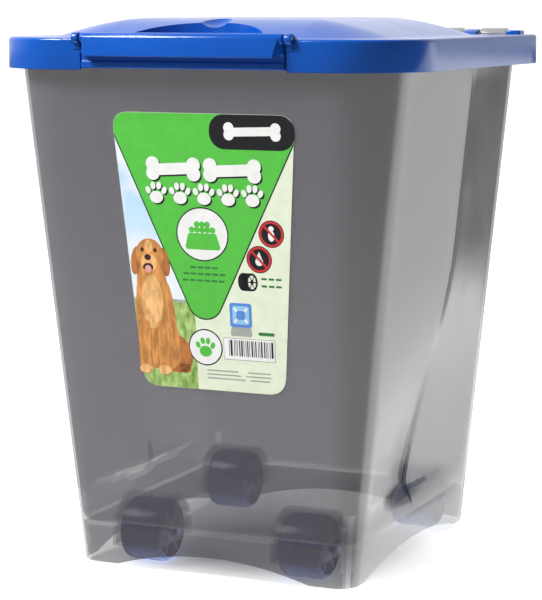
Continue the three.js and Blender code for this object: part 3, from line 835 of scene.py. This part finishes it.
def make_latch():
    """A barrel, a sloping flap that stands proud at its lower edge, a finger recess and a bar below it."""
    face = LID_PLAN.front
    back = face + NOTCH_DEPTH - 0.5
    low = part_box("latch")[0].z / MM
    section = [
        (PIVOT_Y, PIVOT_Z + BARREL_RADIUS, 4),
        (PIVOT_Y - BARREL_RADIUS, PIVOT_Z + 2, 4),
        (face - LATCH_PROUD, LATCH_LIP + 0.6, 0.8),
        (face - LATCH_PROUD + 1, LATCH_LIP, 0.6),
        (face - LATCH_PROUD + 3, LATCH_LIP + 1.2, 1.5),
        (face - 0.4, LATCH_LIP + 3, 1.5),
        (face - 0.4, low + 5.8, 0.8),
        (face - 1.4, low + 4.8, 0.8),
        (face - 1.4, low + 0.8, 1.2),
        (face - 0.6, low, 0.8),
        (face + 6.3, low, 0.8),
        (face + 6.3, low + 4.6, 0.8),
        (back - 1.2, low + 7, 0.8),
        (back - 1.2, PIVOT_Z - 6, 1.0),
        (PIVOT_Y + 2, PIVOT_Z - 2, 1.0),
        (PIVOT_Y + 3, PIVOT_Z + 2, 1.0),
    ]
    corners = [(y, z) for y, z, _ in section]
    profile = []
    for i, (_, _, radius) in enumerate(section):
        trio = [corners[i - 1], corners[i], corners[(i + 1) % len(corners)]]
        profile += rounded(trio, radius, 5, only=1)[1:-1]

    def slant(y, z):
        """How far the flap's ends are pulled in, the more so the further out the flap stands."""
        return 6 * clamp01((face - 1.8 - y) / (LATCH_PROUD - 1.6)) if z > LATCH_LIP - 2 else 0

    latch = make_object("latch_moulding", bar(profile, -LATCH_HALF, LATCH_HALF, 0.7, 3, slant))
    join(latch, rod(-LATCH_HALF, LATCH_HALF, PIVOT_Y, PIVOT_Z, BARREL_RADIUS, 1.6, 64))
    reach = 9
    bores = [(-BORE_END, -LATCH_HALF + reach), (LATCH_HALF - reach, BORE_END)]
    radius = LATCH_PIN_RADIUS + GAP
    cut(latch, *(rod(x0, x1, PIVOT_Y, PIVOT_Z, radius, 0, 24) for x0, x1 in bores))
    return latch


def make_pin(name, node, radius):
    """A plain pin with rounded ends, as long as its CAD node."""
    low, high = (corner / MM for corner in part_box(node))
    y, z = (low.y + high.y) / 2, (low.z + high.z) / 2
    return make_object(name, rod(low.x, high.x, y, z, radius, 0.5, 32))


def make_wheel(name, x, y, z):
    """A roller: a barrel with rounded shoulders, a groove round its middle, and ribbed hollow ends."""
    bore = AXLE_RADIUS + GAP
    hub, rim = 8, WHEEL_RADIUS - 4.2
    recess = 7
    half = [
        (bore, -WHEEL_HALF + 0.4),
        (bore + 0.4, -WHEEL_HALF),
        (hub, -WHEEL_HALF),
        (hub + 0.4, -WHEEL_HALF + 0.4),
        (hub + 0.8, -WHEEL_HALF + recess),
        (rim - 0.6, -WHEEL_HALF + recess),
        (rim, -WHEEL_HALF + 0.4),
        (rim + 0.4, -WHEEL_HALF),
    ]
    for angle in quarter_turn(6):
        half.append((WHEEL_RADIUS - 3.6 + 3.6 * sin(angle), -WHEEL_HALF + 6 * (1 - cos(angle))))
    half += [(WHEEL_RADIUS, -2.6), (WHEEL_RADIUS - 0.5, -2), (WHEEL_RADIUS - 1.6, -1.3)]
    profile = half + [(radius, -reach) for radius, reach in reversed(half)]
    wheel = make_object(name, lathe_x(profile, x, y, z, 72))
    for turn in range(3):
        join(wheel, *spoke_skins(x, y, z, turn * pi / 3, hub - 1, rim + 1))
    return wheel


def spoke_skins(x, y, z, angle, inner, outer):
    """The two opposite ribs at an angle, in both hollow ends of a roller."""
    skins = []
    for side in (-1, 1):
        for way in (0, pi):
            x0, x1 = sorted((x + side * (WHEEL_HALF - 1), x + side * (WHEEL_HALF - 8)))
            profile = [spin(corner, angle + way, (y, z)) for corner in oblong(inner, outer, -0.9, 0.9)]
            skins.append(bar(profile, x0, x1, 0.3))
    return skins


def make_axle(name, node, y, z, outwards):
    """A plain pin with a low domed head on its outer end."""
    low, high = (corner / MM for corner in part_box(node))
    head_out = high.x if outwards > 0 else low.x
    tip = low.x if outwards > 0 else high.x
    head = head_out - outwards * 3
    steps = (
        (tip, AXLE_RADIUS - 0.8),
        (tip + outwards * 0.8, AXLE_RADIUS),
        (head, AXLE_RADIUS),
        (head, AXLE_RADIUS + 1.8),
        (head + outwards * 0.2, AXLE_RADIUS + 2),
        (head + outwards * 1.4, AXLE_RADIUS + 2),
        (head + outwards * 2.4, AXLE_RADIUS + 1),
        (head + outwards * 3, AXLE_RADIUS - 2),
    )
    return make_object(name, loft([hoop(x, y, z, radius, 40) for x, radius in steps]))


# ---------------- the label

LABEL_X = 10.5
LABEL_LOW = 151
LABEL_HIGH = 361
LABEL_HALF_WIDTHS = (59, 75)
LABEL_THICKNESS = 0.3
INK_STEP = 0.03


def front_face(z):
    return tub_plan(z).front


LEAN = (front_face(LABEL_HIGH) - front_face(LABEL_LOW)) / (LABEL_HIGH - LABEL_LOW)
LABEL_UP = Vector((0, LEAN, 1)).normalized()
LABEL_OUT = Vector((1, 0, 0)).cross(LABEL_UP)
LABEL_HEIGHT = (LABEL_HIGH - LABEL_LOW) * hypot(1, LEAN)
LABEL_BASE = Vector((LABEL_X, front_face(LABEL_LOW), LABEL_LOW)) + LABEL_OUT * GAP


def label_outline(trim=0.0):
    """The label's outline as (across, up) points, anticlockwise from the lower left."""
    low, high = (half - trim for half in LABEL_HALF_WIDTHS)
    corners = [(-low, trim), (low, trim), (high, LABEL_HEIGHT - trim), (-high, LABEL_HEIGHT - trim)]
    reach = 14
    points = []
    for i, corner in enumerate(corners):
        before, after = corners[i - 1], corners[(i + 1) % 4]
        start, end = towards(corner, before, reach), towards(corner, after, reach)
        points += bend(start, corner, end, 10) + [end]
    return points


def clip(points, a, b):
    """The part of a convex outline to the left of the line from a to b."""

    def side(point):
        return (b[0] - a[0]) * (point[1] - a[1]) - (b[1] - a[1]) * (point[0] - a[0])

    kept = []
    for i, here in enumerate(points):
        before = points[i - 1]
        if (side(here) > 0) != (side(before) > 0):
            share = side(before) / (side(before) - side(here))
            kept.append(between(before, here, share))
        if side(here) > 0:
            kept.append(here)
    return kept


def ellipse(across, up, half_width, half_height, turn=0.0, count=36):
    points = [(half_width * cos(a), half_height * sin(a)) for a in turns(count)]
    return turned(points, turn, across, up)


def panel(x0, x1, y0, y1, radius):
    return rounded(oblong(x0, x1, y0, y1), radius)


def pill(x0, x1, y0, y1):
    return rounded(oblong(x0, x1, y0, y1), 0.499 * min(x1 - x0, y1 - y0), 10)


def moved(points, across, up):
    return [(x + across, y + up) for x, y in points]


def turned(points, degrees, across, up):
    return [spin(point, radians(degrees), (across, up)) for point in points]


def bone(across, up, length, height):
    """The outline of a biscuit shaped like a bone."""
    lobe = height * 0.31
    rise = height / 2 - lobe
    right = []
    for side, start, end in ((-1, -178, 37.8), (1, -37.8, 178)):
        right += arc((length / 2 - lobe, side * rise), lobe, start, end, 14)
    left = [(-x, -y) for x, y in right]
    return moved(right + left, across, up)


def paw(across, up, size):
    """A round pad and four toes."""
    pad = ellipse(across, up - size * 0.18, size * 0.3, size * 0.25)
    toes = [
        ellipse(across + size * x, up + size * y, size * 0.11, size * 0.155, -60 * x)
        for x, y in ((-0.36, 0.1), (-0.13, 0.29), (0.13, 0.29), (0.36, 0.1))
    ]
    return [pad, *toes]


class Sheet:
    """Thin layers of ink on the label, each a closed plate in the label's own plane."""

    def __init__(self):
        self.skins = []
        self.inks = []
        self.names = []

    def add(self, ink, layer, *shapes):
        """Prints (across, up) shapes, in millimetres, in one ink. A higher layer lies on the lower ones."""
        if ink not in self.names:
            self.names.append(ink)
        low = 0 if layer == 0 else LABEL_THICKNESS - 0.02
        high = LABEL_THICKNESS + layer * INK_STEP
        for shape in shapes:
            points = shape if area(shape) > 0 else shape[::-1]
            rings = [[self.place(point, height) for point in points] for height in (low, high)]
            self.skins.append(loft(rings))
            self.inks.append(self.names.index(ink))

    def place(self, point, height):
        return tuple(LABEL_BASE + Vector((1, 0, 0)) * point[0] + LABEL_UP * point[1] + LABEL_OUT * height)

    def build(self, name, inks):
        piece = make_object(name, *self.skins)
        shade(piece, 40)
        piece.data.materials.clear()
        for ink in self.names:
            piece.data.materials.append(inks[ink])
        slots = [ink for (_, faces), ink in zip(self.skins, self.inks) for _ in faces]
        for face, slot in zip(piece.data.polygons, slots):
            face.material_index = slot
        return piece


def draw_panels(sheet):
    """The film, the sky and grass at the left, and the green wedge with its black edge."""
    film = label_outline()
    inner = label_outline(0.15)
    sheet.add("cream", 0, film)
    left_line = ((-71.9, 191), (-16.9, 63.5))
    right_line = ((10, 66.6), (72.3, 189))
    sky = clip(clip(inner, (-90, 67), (90, 67)), left_line[1], (left_line[1][0], 300))
    sheet.add("sky", 1, sky)
    grass = clip(clip(inner, (90, 69), (-90, 69)), (-13, 0), (-13, 100))
    sheet.add("grass", 1, grass)
    for ink, layer, grow in (("black", 2, 1.0), ("green", 3, 0.0)):
        shape = clip(inner, *shifted(left_line, grow))
        shape = clip(shape, *shifted(right_line, grow))
        tip = min(range(len(shape)), key=lambda i: shape[i][1])
        sheet.add(ink, layer, rounded(shape, 14 + grow, 14, only=tip))


def shifted(line, distance):
    """A line moved to its right."""
    (x0, y0), (x1, y1) = line
    length = dist(*line)
    dx, dy = (y1 - y0) / length * distance, -(x1 - x0) / length * distance
    return (x0 + dx, y0 + dy), (x1 + dx, y1 + dy)


def draw_title(sheet):
    """A black badge with a bone on it, then white bones and paws where a title would be."""
    sheet.add("black", 4, pill(5.7, 74.6, 184.8, 210.8))
    sheet.add("white", 5, bone(40.5, 198.3, 46, 13.5))
    shadow = (1.2, -1.2)
    icons = [bone(-25.5, 169, 45, 18), bone(23, 169, 47, 18)]
    for n in range(5):
        icons += paw(-40.5 + n * 19.8, 150.5, 18.5)
    sheet.add("black", 4, *(moved(shape, *shadow) for shape in icons))
    sheet.add("white", 5, *icons)


def draw_bowl(sheet):
    """The white disc in the wedge, with a full food bowl on it, and three lines of dashes below."""
    sheet.add("black", 4, ellipse(-3.7, 120.2, 21.6, 20.6, count=64))
    sheet.add("white", 5, ellipse(-3.7, 120.2, 20.6, 19.6, count=64))
    sheet.add("green", 6, rounded([(-18.7, 108.5), (11.3, 108.5), (7.8, 121), (-15.2, 121)], 2))
    for n in range(5):
        sheet.add("green", 6, ellipse(-12.3 + n * 4.3, 123.5, 2.4, 2.4, count=20))
    for n in range(3):
        sheet.add("green", 6, ellipse(-8 + n * 4.3, 127.6, 2.4, 2.4, count=20))
    for n, (first, end) in enumerate(((-15, 4), (-21, 10), (-22, 12))):
        for x in range(first, end, 6):
            sheet.add("dark_green", 4, pill(x, x + 5, 94 - 5 * n, 95.6 - 5 * n))


def draw_sign(sheet, across, up, *shapes):
    """White shapes in a red ring, with a red bar across them."""
    for ink, layer, radius in (("black", 2, 10.3), ("red", 3, 9.7), ("black", 4, 8)):
        sheet.add(ink, layer, ellipse(across, up, radius, radius, count=48))
    sheet.add("white", 5, *(moved(shape, across, up) for shape in shapes))
    sheet.add("red", 6, turned(pill(-8.4, 8.4, -0.9, 0.9), -45, across, up))


def draw_features(sheet):
    """The right side: a sign with a seed, one with a drop, a roller, a window and lines of dashes."""
    draw_sign(sheet, 52.7, 122.7, ellipse(0, -1.5, 2.6, 4), ellipse(0, 4, 2.2, 2))
    draw_sign(sheet, 42.1, 103.1, ellipse(0, -1.6, 3.2, 3.2), [(-3, -0.6), (3, -0.6), (0, 6)])
    sheet.add("black", 2, ellipse(28, 85.5, 4, 6.8), panel(28, 36, 78.7, 92.3, 0.4))
    sheet.add("black", 3, ellipse(35.5, 85.5, 4.6, 6.8))
    sheet.add("cream", 4, ellipse(35.5, 85.5, 3.2, 5.2))
    sheet.add("black", 5, ellipse(35.5, 85.5, 1.2, 2), *(wheel_spoke(n * 60) for n in range(3)))
    sheet.add("grey", 2, rounded([(16, 43.5), (34, 43.5), (33, 51), (17, 51)], 1.5))
    sheet.add("blue", 3, panel(16, 34, 50.5, 69, 2))
    sheet.add("pale_blue", 4, panel(18.2, 31.8, 52.7, 66.8, 1.5))
    for layer, turn in ((6, 45), (5, -45)):
        sheet.add("white", layer, turned(pill(-8, 8, -0.9, 0.9), turn, 25, 59.7))
    sheet.add("blue", 7, panel(21.6, 28.4, 56.3, 63.1, 1.2))
    for n in range(3):
        for y in (88.5, 83):
            sheet.add("dark_green", 2, pill(43 + n * 6, 47.6 + n * 6, y - 0.8, y + 0.8))


def wheel_spoke(turn):
    """A spoke across the drawn roller's oval end."""
    spoke = turned(pill(-5.4, 5.4, -0.45, 0.45), turn, 0, 0)
    return [(35.5 + x * 0.65, 85.5 + y) for x, y in spoke]


def draw_foot(sheet):
    """The round seal with a paw, the block of bars and the small print, all plain shapes."""
    sheet.add("black", 2, ellipse(-5.4, 33.2, 14.2, 14.2, count=56))
    sheet.add("white", 3, ellipse(-5.4, 33.2, 13.2, 13.2, count=56))
    sheet.add("green", 4, *paw(-5.4, 33.2, 17))
    sheet.add("grey", 2, panel(9.7, 52.3, 24.8, 42, 0.3))
    sheet.add("white", 3, panel(10.2, 51.8, 25.3, 41.5, 0.3))
    place = 14.2
    for n in range(22):
        width = 0.5 + 0.45 * (n * 5 % 4 == 1) + 0.7 * (n * 7 % 5 == 2)
        sheet.add("black", 4, oblong(place, place + width, 28, 40.3))
        place += width + 0.75 + 0.5 * (n % 3 == 1)
    lines = ((-5, 21, 15.6), (29, 48, 15.6), (-5, 23, 12.6), (27, 48, 12.6), (-5, 27, 9.6), (31, 47, 9.6))
    for x0, x1, y in lines:
        sheet.add("grey", 2, pill(x0, x1, y - 0.55, y + 0.55))
    sheet.add("dark_green", 2, pill(39, 52, 45, 47.5))


def leg(x, low, high, top, radius):
    """A front leg of the dog, a little wider at the top."""
    return rounded([(x - low, 12), (x + low, 12), (x + high, top), (x - high, top)], radius)


def draw_dog(sheet):
    """A plain sitting dog of simple shapes."""
    sheet.add("gold_dark", 2, ellipse(-28, 27, 11, 15, 18), pill(-36, -18.5, 12, 19))
    top_and_right = [(-61, 84), (-35, 85), (-30.5, 66), (-29, 50), (-27, 36), (-26, 20)]
    bottom_and_left = [(-34, 14), (-58, 14), (-61.5, 34), (-63, 58)]
    sheet.add("gold", 3, rounded(top_and_right + bottom_and_left, 9, 6))
    sheet.add("gold", 4, rounded([(-61, 76), (-35, 76), (-37.5, 99), (-60, 99)], 3))
    sheet.add("gold_light", 5, ellipse(-48.5, 66, 9, 21))
    for x in (-56.5, -40.5):
        sheet.add("gold_dark", 5, leg(x, 5.2, 5.9, 49, 4.6))
        sheet.add("gold", 6, leg(x, 4.5, 5.2, 52, 4))
        sheet.add("gold_light", 7, ellipse(x, 13.2, 5.6, 3.6))
    sheet.add("gold_dark", 5, ellipse(-61, 97.5, 4, 11, -8), ellipse(-36.6, 97.5, 4.2, 11, 8))
    sheet.add("gold", 6, ellipse(-49, 102.5, 11.6, 12.6))
    sheet.add("gold_light", 7, ellipse(-49.6, 96.5, 6.8, 6.8), ellipse(-49.4, 109, 3, 5))
    sheet.add("brown", 8, ellipse(-50.6, 100.6, 2.8, 2.4), ellipse(-55, 106.4, 1.4, 1.6))
    sheet.add("brown", 8, ellipse(-44, 106.2, 1.4, 1.6), ellipse(-50.6, 92.9, 4.4, 3.2))
    sheet.add("pink", 9, ellipse(-50.6, 91.4, 2.8, 3))


INKS = {
    "cream": (0.78, 0.85, 0.66),
    "black": (0.008, 0.008, 0.01),
    "white": (0.86, 0.86, 0.84),
    "green": (0.095, 0.53, 0.06),
    "dark_green": (0.04, 0.2, 0.05),
    "red": (0.6, 0.03, 0.04),
    "blue": (0.1, 0.26, 0.68),
    "pale_blue": (0.3, 0.58, 0.84),
    "grey": (0.38, 0.4, 0.36),
    "gold": (0.62, 0.27, 0.075),
    "gold_light": (0.78, 0.44, 0.17),
    "gold_dark": (0.44, 0.16, 0.04),
    "brown": (0.05, 0.02, 0.012),
    "pink": (0.75, 0.35, 0.32),
}


def satin(material):
    """Gives printed film its smooth satin surface."""
    vary_roughness(material, add_noise(material, 300), 0.32, 0.46)
    return material


def ink_material(name, colour):
    """An ink with a slight mottle, or with a coarser, drawn-out one for the dog's coat."""
    material = new_material(f"ink_{name}", colour, 0.4)
    furry = name.startswith("gold")
    spread = 0.28 if furry else 0.04
    mottle = add_noise(material, 260, 4.0, (1, 1, 0.3)) if furry else add_noise(material, 120, 4.0)
    darker = [value * (1 - spread) for value in colour]
    lighter = [min(value * (1 + spread), 1) for value in colour]
    vary_colour(material, mottle, darker, lighter)
    return satin(material)


def sky_ink():
    """Blue sky that fades to white, with soft clouds."""
    material = new_material("ink_sky", (0.6, 0.78, 0.9), 0.4)
    height = add_node(material, "SeparateXYZ", {"Vector": object_place(material)}).outputs["Z"]
    rise = map_range(material, height, ((LABEL_LOW + 60) * MM, (LABEL_HIGH - 15) * MM), (0, 1))
    ramp = colour_ramp(material, rise, (0.8, 0.9, 0.95), (0.3, 0.6, 0.88), 0, 1)
    middle = ramp.color_ramp.elements.new(0.55)
    middle.color = (0.55, 0.76, 0.93, 1)
    cover = map_range(material, add_noise(material, 26), (0.42, 0.62), (0, 1))
    inputs = {"Factor": cover, "A": ramp.outputs["Color"], "B": (0.86, 0.9, 0.92, 1)}
    clouds = add_node(material, "Mix", inputs, data_type="RGBA")
    paint(material, {"Base Color": clouds.outputs["Result"]})
    return satin(material)


def grass_ink():
    """Blades of light and dark green."""
    material = new_material("ink_grass", (0.3, 0.48, 0.12), 0.4)
    blades = add_noise(material, 220, 5.0, (1, 1, 0.4))
    vary_colour(material, blades, (0.14, 0.3, 0.04), (0.5, 0.66, 0.24))
    return satin(material)


def make_label():
    sheet = Sheet()
    draw_panels(sheet)
    draw_title(sheet)
    draw_bowl(sheet)
    draw_features(sheet)
    draw_foot(sheet)
    draw_dog(sheet)
    inks = {name: ink_material(name, colour) for name, colour in INKS.items()}
    inks["sky"] = sky_ink()
    inks["grass"] = grass_ink()
    return sheet.build("printed_label", inks)


# ---------------- floor, light and camera


FLOOR_REACH = 60000
# The distances in metres from the middle between which the floor's glow grows, and its strength at each. The
# weak glow near the middle is a painted shadow under the bin.
FLOOR_GLOW_AND_PAINTED_SHADOW = ((0.06, 0.14), (0.15, 0.85))

# The world's brightness by direction. A direction has a length of 1, so each of its parts lies between
# -1 and 1. A pair of numbers is where a change starts and where it ends, or the brightness at each.
# BACKDROP_SIDE turns the bright backdrop towards the left, and CARD_LEANS moves the card's edges with height.
BACKDROP_GLOW = ((0.1, 0.5), (0.3, 1.05))
GROUND_GLOW = ((0.2, 0.8), (0.4, 0.2))
BACKDROP_SIDE = -0.6
HORIZON = (-0.08, -0.02)
CARD_GLOW = 2.45
CARD_TOP = (0.05, 0.15)
CARD_EDGES = {"X": (0.36, 0.43), "Y": (0.72, 0.88)}
CARD_LEANS = {"X": -1.2, "Y": -1.5}


def make_floor():
    """Pale paper that glows, with a painted shadow under the bin where the glow is weaker. It lights nothing,
    and nothing reflects it.
    """
    floor = make_object("floor", loft([ring(circle((0, 0), FLOOR_REACH, 64), z) for z in (-20, 0)]))
    material = new_material("floor_paper", (0.6, 0.6, 0.6), 0.9, Specular_IOR_Level=0.1)
    inputs = {0: object_place(material)}
    reach = add_node(material, "VectorMath", inputs, operation="LENGTH").outputs["Value"]
    # The glow fades towards the middle: a painted shadow under the bin.
    glow_with_painted_shadow = map_range(material, reach, *FLOOR_GLOW_AND_PAINTED_SHADOW)
    paint(material, {"Emission Color": (1, 1, 1, 1), "Emission Strength": glow_with_painted_shadow})
    floor.data.materials.append(material)
    floor.visible_glossy = False
    floor.visible_diffuse = False


def add_math(world, operation, *values):
    inputs = dict(enumerate(values))
    return add_node(world, "Math", inputs, operation=operation).outputs["Value"]


def mix_values(world, factor, first, second):
    inputs = {"Factor": factor, "A": first, "B": second}
    return add_node(world, "Mix", inputs, data_type="FLOAT").outputs["Result"]


def make_world():
    """A white backdrop at the rear and left, dim elsewhere, and a bright card low at the rear right.

    The card is what the bin's right side reflects. Its edges lean so that the strip behind the crease
    stays dark all the way down.
    """
    world = bpy.data.worlds.new("studio")
    bpy.context.scene.world = world
    world.use_nodes = True
    direction = add_node(world, "TexCoord", {}).outputs["Generated"]
    parts = add_node(world, "SeparateXYZ", {"Vector": direction}).outputs
    edges = []
    for axis, span in CARD_EDGES.items():
        edge = add_math(world, "MULTIPLY_ADD", parts["Z"], CARD_LEANS[axis], parts[axis])
        edges.append(map_range(world, edge, span, (0, 1)))
    card = add_math(world, "MULTIPLY", *edges)
    low = map_range(world, parts["Z"], CARD_TOP, (1, 0))
    rear_left = add_math(world, "MULTIPLY_ADD", parts["X"], BACKDROP_SIDE, parts["Y"])
    backdrop = map_range(world, rear_left, *BACKDROP_GLOW)
    ground = map_range(world, parts["Y"], *GROUND_GLOW)
    above = map_range(world, parts["Z"], HORIZON, (0, 1))
    around = mix_values(world, above, ground, backdrop)
    strength = mix_values(world, add_math(world, "MULTIPLY", card, low), around, CARD_GLOW)
    background = world.node_tree.nodes["Background"]
    feed(world, background, {"Color": (1, 1, 1, 1), "Strength": strength})


def add_aimed(name, data, place, direction):
    """Puts a light or a camera in its place, looking along a direction."""
    made = bpy.data.objects.new(name, data)
    made.location = place
    made.rotation_mode = "QUATERNION"
    made.rotation_quaternion = direction.to_track_quat("-Z", "Y")
    bpy.context.scene.collection.objects.link(made)
    return made


def make_key_light():
    """One square lamp in front of the bin, above it and to its left."""
    light = bpy.data.lights.new("key", "AREA")
    light.shape = "RECTANGLE"
    light.size, light.size_y = 1.0, 1.0
    light.energy = 155
    place, target = Vector((-1.6, -1.5, 2.4)), Vector((0, 0, 0.22))
    add_aimed("key", light, place, target - place)


def make_camera():
    """A long lens a little above the bin's lid, 24 degrees round to the bin's right."""
    azimuth, pitch, distance = radians(24.1), radians(7.8), 1.855
    target = Vector((-0.0386, 0.0886, 0.1902))
    level = cos(pitch)
    back = Vector((sin(azimuth) * level, -cos(azimuth) * level, sin(pitch)))
    data = bpy.data.cameras.new("camera")
    data.sensor_width = 36
    data.lens = 130.4
    bpy.context.scene.camera = add_aimed("camera", data, target + back * distance, -back)


# ---------------- the bin

make_camera()
make_world()
make_key_light()
make_floor()
bpy.context.scene.view_settings.view_transform = "Standard"
bpy.context.scene.cycles.transparent_max_bounces = 40

SMOKE = smoke_plastic()
BLUE = blue_plastic()
ROLLER = roller_plastic()
STEEL = drawn_steel()

tub = finish_piece(make_tub(), SMOKE, "tub", "smoke_plastic", "tub")
clear_inner_faces(tub)
finish_piece(make_lid(), BLUE, "lid", "blue_plastic", "lid")
finish_piece(make_seal(), gasket_rubber(), "lid", "gasket", "lid_seal")
finish_piece(make_latch(), BLUE, "latch", "blue_plastic", "latch")
for side in ("left", "right"):
    node = f"latch_pin_{side}"
    finish_piece(make_pin(f"{node}_wire", node, LATCH_PIN_RADIUS), STEEL, "lid", "pin_steel", node)
for number in range(1, 5):
    node = f"hinge_pin_{number}"
    finish_piece(make_pin(f"{node}_wire", node, HINGE_PIN_RADIUS), STEEL, "tub", "pin_steel", node)
for name, (x, y, z) in ROLLERS.items():
    wheel = make_wheel(f"roller_{name}", x, y, z)
    finish_piece(wheel, ROLLER, f"roller_{name}", "roller_plastic", f"wheel_{name}")
    axle = make_axle(f"axle_pin_{name}", f"axle_{name}", y, z, copysign(1, x))
    finish_piece(axle, ROLLER, "tub", "roller_plastic", f"axle_{name}")

label = make_label()
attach(label, "tub")
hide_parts("front_label")
